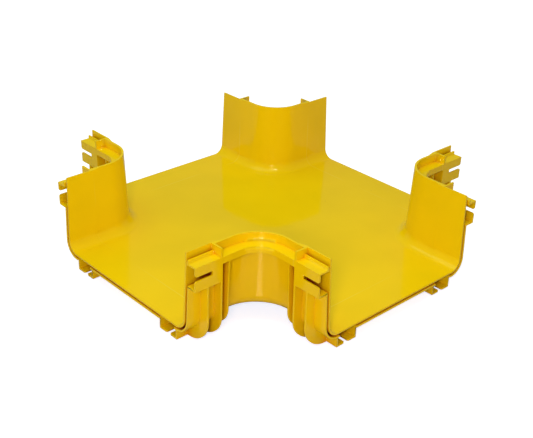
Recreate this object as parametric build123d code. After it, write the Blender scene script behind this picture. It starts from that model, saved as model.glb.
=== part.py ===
"""Cross fitting of a fibre raceway: a moulded four-way trough for patch cords.

One injection moulded piece. Four open channels meet in the middle, with rounded inner
corners. Each of the four openings ends in a thin tongue inside a skin, with a gap
between them for the wall of the duct that is pushed in. Outside the skin lie the
C-shaped seats of the fastening clips, two beside the walls and two under the floor,
and ribs that run round the trough like cradles.

Millimetres. X and Y run along the channels, Z is up. The origin is the middle of the
fitting, on the plane that its ribs stand on.
"""

from build123d import *
import math
import os

# The channel
channel_width = 234.0    # between the walls, where they meet the floor's level
channel_depth = 100.0    # from the floor to the rim
floor_height = 23.0      # top of the floor, above the plane that the ribs stand on
floor_radius = 14.0      # inside, where a wall turns into the floor
wall_lean = 1.0          # how far the wall of an opening leans out between floor and rim

# The middle, where the channels cross
middle_lean = 4.0        # its walls lean out by this much
middle_wall = 3.0        # thickness of its floor and walls
bend_radius = 49.0       # round an inner corner, on the channel side at the floor's level
straight = 65.0          # from the end of that bend to the end of the opening
overlap = 2.0            # of the walls' feet over the edge of the flat floor

# The two-walled ends that a duct slides into
tongue = 2.0             # thickness
tongue_gap = 3.0         # between tongue and skin
skin = 2.2               # thickness
tongue_past_end = 2.0    # tongue and skin reach past the end at floor level
end_lean = 4.0           # and lean back by this much up to the rim
step_length = 12.0       # the rim widens over this length towards the middle
step_to_socket = 4.0     # and starts to do so this far behind the gap's end

# The ribs
rib = 2.4                # thickness
rib_corner = 34.0        # outer corner radius of the two deep ribs
front_rib_depth = 16.8   # from the opening's end to the face of the rib nearest to it
socket_depth = 36.0      # from the opening's end to the face of the rib that closes it
back_rib_depth = 50.8    # from the opening's end to the face of the shallow rib
back_rib_out = 13.2      # the shallow rib stands out from the channel by this much
back_rib_lean = 3.6      # and leans out by this much between floor and rim
back_rib_corner = 28.5
back_rib_foot = 7.5      # its lowest edge, above the plane that the others stand on

# The flange along the walls
flange_out = 19.6        # from the channel's side to the flange's outer edge
flange_drop = 11.3       # from the rim down to the flange
plate = 2.0              # thickness of the flange, of its lip and of all clip seats
lip_height = 8.5         # of the lip round the bend

# The clip seats beside the walls and under the floor
seat_height = 31.0       # of the seat beside a wall, over both its plates
bead_height = 4.0        # of the bead on the flange, in line with the skin
slot_width = 5.5
slot_length = 24.5       # from the opening's end to the slot's closed end
slot_height = 13.6       # from the bottom of a wall seat to the lower edge of its slot
slot_flare = 2.5         # rounding of the plate beside the slot's mouth
floor_seat_centre = 86.0 # from the channel's middle line
floor_seat_width = 32.0
floor_seat_rise = 1.0    # its plate stays this much above the ribs' feet

# Places that follow from these sizes
rim = floor_height + channel_depth
bend_centre = channel_width / 2 + bend_radius
end = bend_centre + straight
socket_end = end - socket_depth
inside_rib = socket_end - rib / 2
step_end = socket_end - step_to_socket
step_start = step_end - step_length
skin_inside = tongue + tongue_gap
skin_outside = skin_inside + skin
flange_top = rim - flange_drop
flange_bottom = flange_top - plate
seat_bottom = flange_top - seat_height
shelf_top = seat_bottom + plate


def side(offset, height, lean=wall_lean):
    """Half the width between two surfaces that lie this far outside the channel's sides."""
    return channel_width / 2 + offset + lean * (height - floor_height) / channel_depth


def cradle(offset, bottom, corner, top, lean=wall_lean):
    """U-shaped outline across a channel, with round lower corners."""
    left_top = (-side(offset, top, lean), top)
    left_bottom = (-side(offset, bottom, lean), bottom)
    right_bottom = (side(offset, bottom, lean), bottom)
    right_top = (side(offset, top, lean), top)
    outline = make_face(Polyline(left_top, left_bottom, right_bottom, right_top, close=True))
    return fillet(outline.vertices().sort_by(Axis.Y)[:2], corner)


def trough(offset, top=rim, lean=wall_lean):
    """Section of the channel, grown by an offset on its sides and its floor."""
    return cradle(offset, floor_height - offset, floor_radius + offset, top, lean)


def inside_wall():
    """Outline across the channel that runs within the walls and the floor of the middle."""
    return trough(middle_wall / 2, rim, middle_lean)


def at(offset, height, lean=wall_lean):
    """Point across a channel, this far outside its side and at a height."""
    return (side(offset, height, lean), height)


def across(section, station):
    """Set a section across the channel that opens towards -Y, at a distance from the middle."""
    return Plane.XZ.offset(station) * section


def along(section, start, stop):
    """Extrude a section over a stretch of the channel that opens towards -Y."""
    return extrude(across(section, start), amount=stop - start)


def round_the_bend(section):
    """Sweep a section from one closing rib round an inner corner to the next."""
    edge = side(flange_out, rim)
    first = Line((edge, -inside_rib, rim), (edge, -bend_centre, rim))
    bend = JernArc(first @ 1, first % 1, bend_centre - edge, -90)
    second = Line(bend @ 1, (inside_rib, -edge, rim))
    return sweep(across(section, inside_rib), path=first + bend + second)


def four_times(shape):
    """Copies of a shape round the middle of the fitting."""
    return [Rot(Z=quarter * 90) * shape for quarter in range(4)]


def on_both_sides(shape):
    """A shape and its mirror image on the other side of the channel."""
    return [shape, mirror(shape, about=Plane.YZ)]


def flat_floor():
    """The level part of the floor where the channels cross."""
    half = side(-floor_radius, floor_height)
    arms = Rectangle(2 * half, 2 * inside_rib) + Rectangle(2 * inside_rib, 2 * half)
    corners = arms.vertices().sort_by_distance((0, 0))[:4]
    outline = fillet(corners, bend_centre - half)
    return extrude(Pos(0, 0, floor_height - middle_wall) * outline, amount=middle_wall)


def corner_wall():
    """Leaning wall round an inner corner, with its foot that curves into the floor."""
    foot = -floor_radius - overlap
    under_floor = floor_height - middle_wall
    inner_corner = at(0, floor_height, middle_lean)
    outer_corner = at(middle_wall, under_floor, middle_lean)
    section = make_face(
        Polyline(
            at(0, rim, middle_lean),
            inner_corner,
            at(foot, floor_height),
            at(foot, under_floor),
            outer_corner,
            at(middle_wall, rim, middle_lean),
            close=True,
        )
    )
    section = fillet(section.vertices().sort_by_distance(inner_corner)[0], floor_radius)
    outer = section.vertices().sort_by_distance(outer_corner)[0]
    return round_the_bend(fillet(outer, floor_radius + middle_wall))


def widening():
    """Wedge that narrows the middle's leaning wall down to a tongue."""
    at_tongue = side(0, rim)
    at_middle = side(0, rim, middle_lean)
    outline = make_face(
        Polyline(
            (at_middle, -step_start),
            (at_tongue, -step_end),
            (at_tongue, -inside_rib),
            (at_middle + middle_wall, -inside_rib),
            (at_middle + middle_wall, -step_start),
            close=True,
        )
    )
    down = (-wall_lean / channel_depth, 0, -1)
    wedge = extrude(Plane.XY.offset(rim) * outline, amount=channel_depth, dir=down)
    return wedge & along(inside_wall(), step_start, inside_rib)


def leaning_block(half_size, height, lean):
    """Square block on the ground whose sides lean inwards by so much up to the rim."""
    angle = math.degrees(math.atan(lean / channel_depth))
    return extrude(Rectangle(2 * half_size, 2 * half_size), amount=height, taper=angle)


def two_walled_end():
    """Tongue and skin of an opening, cut back on a slant."""
    reach = end + tongue_past_end + end_lean * floor_height / channel_depth
    thin_wall = trough(tongue) - trough(0)
    outer_wall = trough(skin_outside, shelf_top) - trough(skin_inside, shelf_top)
    walls = along(thin_wall, inside_rib, 2 * end) + along(outer_wall, inside_rib, 2 * end)
    return walls & leaning_block(reach, rim, end_lean)


def ribs():
    """The three cradles round an opening's channel."""
    front = cradle(flange_out, 0, rib_corner, seat_bottom + plate / 2)
    front -= trough((skin_inside + skin_outside) / 2)
    closing = cradle(flange_out, 0, rib_corner, rim) - trough(tongue / 2)
    back = cradle(
        back_rib_out, back_rib_foot, back_rib_corner, flange_top - plate / 2, back_rib_lean
    )
    return (
        along(front, end - front_rib_depth - rib, end - front_rib_depth)
        + along(closing, socket_end - rib, socket_end)
        + along(back - inside_wall(), end - back_rib_depth - rib, end - back_rib_depth)
    )


def slot_cut():
    """Slot that opens at X = 0 and runs towards -X, with a rounded mouth."""
    block = Pos(-slot_length, 0) * Rectangle(2 * slot_length, 4 * slot_width)
    slotted = block - Pos(-slot_length / 2, 0) * Rectangle(slot_length, slot_width)
    mouth = slotted.vertices().sort_by_distance((0, 0))[:2]
    slotted = fillet(mouth, slot_flare)
    return block - slotted


def wall_seat():
    """Clip seat beside a wall, with the flange over it and the slot in its lip."""
    outer = flange_out
    inner = flange_out - plate
    bead_top = flange_top + bead_height
    section = make_face(
        Polyline(
            at(skin_inside, seat_bottom),
            at(outer, seat_bottom),
            at(outer, flange_top),
            at(skin_outside, flange_top),
            at(skin_outside, bead_top),
            at(skin_inside, bead_top),
            at(skin_inside, flange_bottom),
            at(inner, flange_bottom),
            at(inner, shelf_top),
            at(skin_inside, shelf_top),
            close=True,
        )
    )
    slot_plane = Plane(
        origin=(side(skin_outside, rim), -end, seat_bottom + slot_height + slot_width / 2),
        x_dir=(0, -1, 0),
        z_dir=(1, 0, 0),
    )
    slot = extrude(slot_plane * slot_cut(), amount=2 * flange_out)
    return along(section, inside_rib, end) - slot


def floor_seat_room():
    """The room inside a clip seat under the floor, up into the gap under the tongue."""
    bottom = floor_seat_rise + plate
    top = floor_height - tongue - tongue_gap / 2
    room = Pos(floor_seat_centre, (bottom + top) / 2) * Rectangle(
        floor_seat_width - 2 * plate, top - bottom
    )
    return along(room, socket_end, 2 * end)


def floor_seat():
    """Clip seat under the floor, with the slot in its lower plate."""
    top = floor_height - (skin_inside + skin_outside) / 2
    block = Pos(floor_seat_centre, (floor_seat_rise + top) / 2) * Rectangle(
        floor_seat_width, top - floor_seat_rise
    )
    slot_plane = Plane(origin=(floor_seat_centre, -end, 0), x_dir=(0, -1, 0), z_dir=(0, 0, 1))
    slot = extrude(slot_plane * slot_cut(), amount=floor_seat_rise + plate)
    return along(block, inside_rib, end) - slot


def bend_flange():
    """Flange and lip round an inner corner."""
    inner = middle_wall / 2
    lip_bottom = flange_top - lip_height
    section = make_face(
        Polyline(
            at(inner, flange_top, middle_lean),
            at(inner, flange_bottom, middle_lean),
            at(flange_out - plate, flange_bottom),
            at(flange_out - plate, lip_bottom),
            at(flange_out, lip_bottom),
            at(flange_out, flange_top),
            close=True,
        )
    )
    return round_the_bend(section)


def opening():
    """All that lies round one of the four openings."""
    seats = on_both_sides(wall_seat()) + on_both_sides(floor_seat())
    shape = two_walled_end() + ribs() + on_both_sides(widening()) + seats
    return shape - on_both_sides(floor_seat_room())


corner = corner_wall() + bend_flange()
raceway_cross = flat_floor() + four_times(corner) + four_times(opening())
raceway_cross = raceway_cross.solid()
print("solids", len(raceway_cross.solids()), "volume", round(raceway_cross.volume))
print("size", raceway_cross.bounding_box().size)
os.makedirs("parts", exist_ok=True)
export_step(raceway_cross, "parts/raceway_cross.step")
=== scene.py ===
# %% [markdown]
# # A four-way cross of a fibre raceway, in glossy yellow plastic
# The real thing is one injection moulding: an open crossing for patch cords, with
# double-walled ends that ducts slide into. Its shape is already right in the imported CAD
# model, so this lesson is about the looks: softly broken edges, a glossy moulded finish
# and studio light.

import bpy
import bmesh
import math
from mathutils import Matrix, Vector


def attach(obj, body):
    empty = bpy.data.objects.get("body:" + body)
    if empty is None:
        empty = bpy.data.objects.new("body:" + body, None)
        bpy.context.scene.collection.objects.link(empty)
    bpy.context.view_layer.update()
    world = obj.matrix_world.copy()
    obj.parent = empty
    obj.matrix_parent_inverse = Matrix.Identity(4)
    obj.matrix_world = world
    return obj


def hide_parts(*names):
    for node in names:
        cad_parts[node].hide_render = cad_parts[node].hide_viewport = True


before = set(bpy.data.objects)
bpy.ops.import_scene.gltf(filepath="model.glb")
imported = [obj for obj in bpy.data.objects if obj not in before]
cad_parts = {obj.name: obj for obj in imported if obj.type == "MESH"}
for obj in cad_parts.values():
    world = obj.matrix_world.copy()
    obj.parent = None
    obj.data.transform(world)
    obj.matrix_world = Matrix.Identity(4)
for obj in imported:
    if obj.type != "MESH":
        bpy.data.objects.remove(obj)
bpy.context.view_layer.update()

# %% [markdown]
# ## The camera
# A camera could be aimed with a Track To constraint, but this one repeats a measured
# viewpoint, so its place and angles are written down. Azimuth and elevation say where it
# stands seen from the fitting, and the roll is a slight tilt of the picture. The three
# axes that follow from them are the columns of its rotation.

# %% Make the camera
camera_spot = (0.8190, -0.7709, 0.6328)
azimuth, elevation, roll = math.radians(46.736), math.radians(27.888), math.radians(1.798)
lens_mm, sensor_mm = 64.04, 36
backward = Vector(
    (
        math.sin(azimuth) * math.cos(elevation),
        -math.cos(azimuth) * math.cos(elevation),
        math.sin(elevation),
    )
)
level = Vector((math.cos(azimuth), math.sin(azimuth), 0))
upright = backward.cross(level)
right = level * math.cos(roll) + upright * math.sin(roll)
up = upright * math.cos(roll) - level * math.sin(roll)
camera_data = bpy.data.cameras.new("camera")
camera_data.sensor_width = sensor_mm
camera_data.lens = lens_mm
camera = bpy.data.objects.new("camera", camera_data)
camera.matrix_world = Matrix.Translation(camera_spot) @ (
    Matrix((right, up, backward)).transposed().to_4x4()
)
bpy.context.collection.objects.link(camera)
bpy.context.scene.camera = camera
print("camera", [round(v, 3) for v in camera.location], "lens", camera_data.lens)

# %% [markdown]
# ## A clean copy of the CAD mesh
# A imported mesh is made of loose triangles. Its doubles are merged, so that its curves
# can be shaded smoothly, and the triangles of one flat face are joined into one polygon.

# %% Copy the mesh, merge it and join its flat faces
merge_distance = 0.00001
flat_angle = math.radians(0.5)
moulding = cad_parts["raceway_cross"].copy()
moulding.data = moulding.data.copy()
moulding.name = "moulded_cross"
bpy.context.collection.objects.link(moulding)
mesh = bmesh.new()
mesh.from_mesh(moulding.data)
print("triangles in the CAD mesh", len(mesh.faces))
bmesh.ops.remove_doubles(mesh, verts=mesh.verts, dist=merge_distance)
bmesh.ops.dissolve_limit(mesh, angle_limit=flat_angle, verts=mesh.verts, edges=mesh.edges)
print("faces after joining", len(mesh.faces), "edges", len(mesh.edges))
mesh.to_mesh(moulding.data)
mesh.free()

# %% [markdown]
# Edges sharper than 30 degrees are marked, so that they stay crisp, and the rest is
# shaded smoothly. Smooth shading alone would bend the light on the big flat walls,
# because each vertex normal is an average over its faces. The Weighted Normal modifier
# lets a face count by its area, so the walls look flat right up to where a fillet
# starts. A weight of 50 is the neutral one. A higher one would favour large faces still
# more, and the narrow strips of a fillet would no longer blend evenly.

# %% Shade it smoothly between its sharp edges
sharp_angle = math.radians(30)
neutral_weight = 50
moulding.data.polygons.foreach_set("use_smooth", [True] * len(moulding.data.polygons))
moulding.data.set_sharp_from_angle(angle=sharp_angle)
flat_walls = moulding.modifiers.new("flat_walls", "WEIGHTED_NORMAL")
flat_walls.mode = "FACE_AREA"
flat_walls.weight = neutral_weight
flat_walls.keep_sharp = True
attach(moulding, "root")
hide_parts("raceway_cross")
print("sharp edges", sum(edge.use_edge_sharp for edge in moulding.data.edges))

# %% [markdown]
# ## The plastic
# A solid-coloured polymer from a polished mould is smooth, but never perfectly so. Its
# colour clouds faintly where the melt flowed, and its gloss differs from place to place.
# Both follow object coordinates, so they stay put when the piece moves. Its highlights
# look pale yellow more than white, which the specular tint gives.

# %% Start the yellow plastic
polymer_ior = 1.5
highlight_tint = (1.0, 0.87, 0.45, 1)
plastic = bpy.data.materials.new("yellow_plastic_gloss")
plastic.use_nodes = True
nodes = plastic.node_tree.nodes
links = plastic.node_tree.links
shader = nodes["Principled BSDF"]
shader.inputs["IOR"].default_value = polymer_ior
shader.inputs["Specular Tint"].default_value = highlight_tint
place = nodes.new("ShaderNodeTexCoord").outputs["Object"]


def noise(scale, detail):
    """Clouds between 0 and 1 with a middle near 0.5, in this many periods per metre."""
    node = nodes.new("ShaderNodeTexNoise")
    node.inputs["Scale"].default_value = scale
    node.inputs["Detail"].default_value = detail
    links.new(place, node.inputs["Vector"])
    return node.outputs["Fac"]


def spread(value, low, high, to_low, to_high):
    """Map a value from one range to another, held within the second."""
    node = nodes.new("ShaderNodeMapRange")
    numbers = {"From Min": low, "From Max": high, "To Min": to_low, "To Max": to_high}
    for name, number in numbers.items():
        node.inputs[name].default_value = number
    links.new(value, node.inputs["Value"])
    return node.outputs["Result"]


print("plastic started with", [node.name for node in nodes])

# %% Cloud its colour and its gloss
yellow = (0.92, 0.665, 0.003)
cloud_range, darker, lighter = (0.35, 0.65), 0.965, 1.035
gloss_range, glossiest, dullest = (0.3, 0.7), 0.05, 0.1
clouds = spread(noise(scale=9, detail=2), *cloud_range, darker, lighter)
tint = nodes.new("ShaderNodeVectorMath")
tint.operation = "SCALE"
tint.inputs[0].default_value = yellow
links.new(clouds, tint.inputs["Scale"])
roughness = spread(noise(scale=45, detail=4), *gloss_range, glossiest, dullest)
links.new(roughness, shader.inputs["Roughness"])
print("yellow", yellow, "nodes", len(nodes))

# %% [markdown]
# ## Sink marks and specks
# Where the thin tongue of an end meets the thicker middle, the melt froze last and left a
# sink mark: a hairline across the floor and up the walls. Its groove is real relief, added
# further down. The paler yellow along it is a painted highlight, where the crease catches
# the light. The larger of |x| and |y| is the distance along either channel, so one
# comparison draws the line in all four arms. The line fades in and out, as it does on a
# real moulding.
#
# A Voronoi texture adds small specks of dust, one round each cell point that lies close
# to the surface. It measures from those points in cells and not in metres, so the radii
# of a speck's core and rim are lengths times the number of cells in a metre: 0.4 mm and
# 0.8 mm.

# %% Add the sink marks with their painted highlight, and a few specks
mark_station, mark_half_width = 0.1908, 0.0009
crease_highlight_colour, crease_highlight_share = (0.94, 0.76, 0.08, 1), 0.6
fade_range = (0.42, 0.6)
cells_per_metre = 19
speck_core, speck_rim = 0.008, 0.016
speck_colour, speck_share = (0.42, 0.27, 0.02, 1), 0.6


def math_node(operation, *values):
    """One Math node fed with outputs or plain numbers."""
    node = nodes.new("ShaderNodeMath")
    node.operation = operation
    for socket, value in zip(node.inputs, values):
        if isinstance(value, (int, float)):
            socket.default_value = value
        else:
            links.new(value, socket)
    return node.outputs["Value"]


def blend(first, second, share):
    """Mix two colours, each an output or plain numbers, by a share of the second."""
    node = nodes.new("ShaderNodeMix")
    node.data_type = "RGBA"
    for name, colour in (("A", first), ("B", second)):
        if isinstance(colour, tuple):
            node.inputs[name].default_value = colour
        else:
            links.new(colour, node.inputs[name])
    links.new(share, node.inputs["Factor"])
    return node.outputs["Result"]


axes = nodes.new("ShaderNodeSeparateXYZ")
links.new(place, axes.inputs["Vector"])
along_x = math_node("ABSOLUTE", axes.outputs["X"])
along_y = math_node("ABSOLUTE", axes.outputs["Y"])
station = math_node("MAXIMUM", along_x, along_y)
from_mark = math_node("ABSOLUTE", math_node("SUBTRACT", station, mark_station))
mark = spread(from_mark, 0.0, mark_half_width, 1.0, 0.0)
fade = spread(noise(scale=14, detail=1), *fade_range, 0.0, 1.0)
faded = math_node("MULTIPLY", mark, fade)
cells = nodes.new("ShaderNodeTexVoronoi")
cells.inputs["Scale"].default_value = cells_per_metre
links.new(place, cells.inputs["Vector"])
speck = spread(cells.outputs["Distance"], speck_core, speck_rim, 1.0, 0.0)
# The paler colour along the sink mark is a painted highlight; the specks are real dust.
crease_highlighted = blend(tint.outputs["Vector"], crease_highlight_colour, math_node("MULTIPLY", faded, crease_highlight_share))
dusty_and_highlighted = blend(crease_highlighted, speck_colour, math_node("MULTIPLY", speck, speck_share))
print("sink marks", mark_station, "m from the middle, nodes", len(nodes))

# %% [markdown]
# ## Deep corners
# Light that enters a narrow slot or corner meets yellow again and again, and each time
# less green comes back than red, so such places look deep orange. Bounced light shows
# some of that. The rest is painted shade: an Ambient Occlusion node that reaches 15 mm
# mixes a darker orange into the base colour there.

# %% Paint shade into the crevices
crevice_reach, crevice_samples = 0.015, 8
crevice_range = (0.05, 0.55)
crevice_shade_colour = (0.75, 0.2, 0.001, 1)
crevice = nodes.new("ShaderNodeAmbientOcclusion")
crevice.samples = crevice_samples
crevice.inputs["Distance"].default_value = crevice_reach
openness = spread(crevice.outputs["AO"], *crevice_range, 0.0, 1.0)
# Painted shade: the base colour turns darker orange where the crevice mask is closed.
crevice_shaded = blend(crevice_shade_colour, dusty_and_highlighted, openness)
print("crevices reach", crevice_reach, "m, nodes", len(nodes))

# %% [markdown]
# The hollow of a clip seat is closed nearly all round, and through its slot it looks dark
# red. That is painted shade: a second Ambient Occlusion node reaches twice as far and
# mixes dark red into the base colour, so it is dark only in such hollows and not in the
# open bays between the ribs. It takes more samples than the first, because its limits
# are so close together that a coarse result would darken the bays too.

# %% Paint shade into the closed hollows
hollow_reach, hollow_samples = 0.03, 32
hollow_range = (0.08, 0.2)
hollow_shade_colour = (0.32, 0.02, 0.001, 1)
hollow = nodes.new("ShaderNodeAmbientOcclusion")
hollow.samples = hollow_samples
hollow.inputs["Distance"].default_value = hollow_reach
outside = spread(hollow.outputs["AO"], *hollow_range, 0.0, 1.0)
# Painted shade: dark red goes into the base colour where the hollow mask is closed.
links.new(blend(hollow_shade_colour, crevice_shaded, outside), shader.inputs["Base Color"])
print("hollows reach", hollow_reach, "m, nodes", len(nodes))

# %% [markdown]
# ## Relief and soft edges
# Large soft waves, where the plastic shrank over the ribs, bend its reflections a
# little. A fine orange peel, which no mould polish quite removes, and the groove of the
# sink marks are added to them. The heights are in millimetres. A tenth is enough for the
# waves and less than a thousandth for the peel, because a mirror-like surface shows
# slopes far better than heights.
#
# Steel moulds leave a radius of a little under a millimetre on every edge, and it catches
# a thin line of light. A Bevel modifier folds over itself on this mesh, at the steps
# lower than that radius and at the slots' rounded mouths. So a Bevel node bends the
# normals near edges instead, and its result goes into the Bump node.

# %% Round the edges and give the surface its relief
edge_reach, edge_samples = 0.0008, 6
millimetre = 0.001
wave_height, peel_height, groove_depth = 0.10, 0.0008, 0.02
rounded = nodes.new("ShaderNodeBevel")
rounded.samples = edge_samples
rounded.inputs["Radius"].default_value = edge_reach
waves = math_node("MULTIPLY", noise(scale=16, detail=1), wave_height)
peel = math_node("MULTIPLY", noise(scale=420, detail=2), peel_height)
groove = math_node("MULTIPLY", faded, -groove_depth)
height = math_node("ADD", math_node("ADD", waves, peel), groove)
bump = nodes.new("ShaderNodeBump")
bump.inputs["Distance"].default_value = millimetre
links.new(rounded.outputs["Normal"], bump.inputs["Normal"])
links.new(height, bump.inputs["Height"])
links.new(bump.outputs["Normal"], shader.inputs["Normal"])
moulding.data.materials.clear()
moulding.data.materials.append(plastic)
print("nodes in the finished plastic", len(nodes))

# %% [markdown]
# ## The light table
# The fitting lies on a smooth pale table that gives the lamp's reflection back to the
# plastic from below. The camera should see it pure white, but a table that bright would
# wash the yellow out. A Light Path node tells the two apart: the table is pale grey for
# the plastic, and for the camera some glow is added, which lifts it to white and leaves
# in what little shadow there is. The glow is slightly blue, to make up for the warm
# light that the table reflects.

# %% Lay the table
floor_half = 6
pale_grey = (0.65, 0.65, 0.65, 1)
table_roughness, table_specular = 0.15, 0.8
glow_colour, glow = (0.96, 1.02, 1.165, 1), 0.74
floor_corners = [(-1, -1), (1, -1), (1, 1), (-1, 1)]
floor_mesh = bpy.data.meshes.new("studio_floor")
floor_mesh.from_pydata(
    [(x * floor_half, y * floor_half, 0) for x, y in floor_corners], [], [(0, 1, 2, 3)]
)
floor = bpy.data.objects.new("studio_floor", floor_mesh)
bpy.context.collection.objects.link(floor)
paper = bpy.data.materials.new("white_paper")
paper.use_nodes = True
paper_nodes = paper.node_tree.nodes
paper_links = paper.node_tree.links
paper_shader = paper_nodes["Principled BSDF"]
paper_shader.inputs["Base Color"].default_value = pale_grey
paper_shader.inputs["Roughness"].default_value = table_roughness
paper_shader.inputs["Specular IOR Level"].default_value = table_specular
paper_shader.inputs["Emission Color"].default_value = glow_colour
seen_by = paper_nodes.new("ShaderNodeLightPath")
lift = paper_nodes.new("ShaderNodeMath")
lift.operation = "MULTIPLY"
lift.inputs[1].default_value = glow
paper_links.new(seen_by.outputs["Is Camera Ray"], lift.inputs[0])
paper_links.new(lift.outputs[0], paper_shader.inputs["Emission Strength"])
floor_mesh.materials.append(paper)
print("table", floor_half * 2, "m wide, its top at", floor_mesh.vertices[0].co.z)

# %% [markdown]
# ## The room
# The room around works the same way. It is white for the camera and a dim warm beige for
# everything else, so the shaded sides keep a deep yellow.

# %% Light the room
room_colour = (0.385, 0.32, 0.19, 1)
white = (1, 1, 1, 1)
world = bpy.data.worlds.new("studio")
bpy.context.scene.world = world
world.use_nodes = True
sky_nodes = world.node_tree.nodes
sky_links = world.node_tree.links
path = sky_nodes.new("ShaderNodeLightPath")
sky = sky_nodes.new("ShaderNodeMix")
sky.data_type = "RGBA"
sky.inputs["A"].default_value = room_colour
sky.inputs["B"].default_value = white
sky_links.new(path.outputs["Is Camera Ray"], sky.inputs["Factor"])
sky_links.new(sky.outputs["Result"], sky_nodes["Background"].inputs["Color"])
print("room colour for the plastic", room_colour[:3])

# %% [markdown]
# ## The lamps
# The key light hangs just above and beside the camera and is small. So each shadow hides
# behind its object, and the light comes back from the smooth table as one upright streak
# in the hollow of the near wall. It also puts a short dash in the foot of the far wall,
# and a narrow strip overhead puts a second dash under it. A wide ceiling light fills the
# floor of the trough. The back fill lights the sides that face away from the camera, for
# a look from behind. Its reflection is switched off, because it would lie on the floor
# of the trough as a pale patch.


# %% Hang the lamps
def softbox(name, spot, target, size, power, colour=(1, 1, 1)):
    """A rectangular area lamp at a spot, turned to its target, hidden from the camera."""
    lamp_data = bpy.data.lights.new(name, "AREA")
    lamp_data.shape = "RECTANGLE"
    lamp_data.size, lamp_data.size_y = size
    lamp_data.energy = power
    lamp_data.color = colour
    lamp = bpy.data.objects.new(name, lamp_data)
    lamp.location = spot
    towards = Vector(target) - Vector(spot)
    lamp.rotation_euler = towards.to_track_quat("-Z", "Y").to_euler()
    lamp.visible_camera = False
    bpy.context.collection.objects.link(lamp)
    print(name, power, "W at", round(towards.length, 2), "m")
    return lamp


ground_middle = (0, 0, 0)
fitting_middle = (0, 0, 0.05)
softbox(
    "key",
    spot=(0.82, -0.91, 0.70),
    target=fitting_middle,
    size=(0.16, 0.2),
    power=6.4,
    colour=(1.0, 0.77, 0.65),
)
softbox(
    "overhead",
    spot=(0.36, -0.345, 1.5),
    target=ground_middle,
    size=(0.5, 0.03),
    power=4.4,
)
softbox(
    "ceiling",
    spot=(-0.35, -0.3, 1.8),
    target=ground_middle,
    size=(1.5, 1.5),
    power=8.2,
    colour=(0.55, 1.0, 0.73),
)
back_fill = softbox(
    "back_fill",
    spot=(-1.5, 1.5, 0.7),
    target=fitting_middle,
    size=(1.2, 0.8),
    power=6.0,
    colour=(1.0, 0.82, 0.6),
)
back_fill.visible_glossy = False

# %% [markdown]
# ## Colours
# The Standard view transform shows a colour as it is written.

# %% Choose the view
bpy.context.scene.view_settings.view_transform = "Standard"
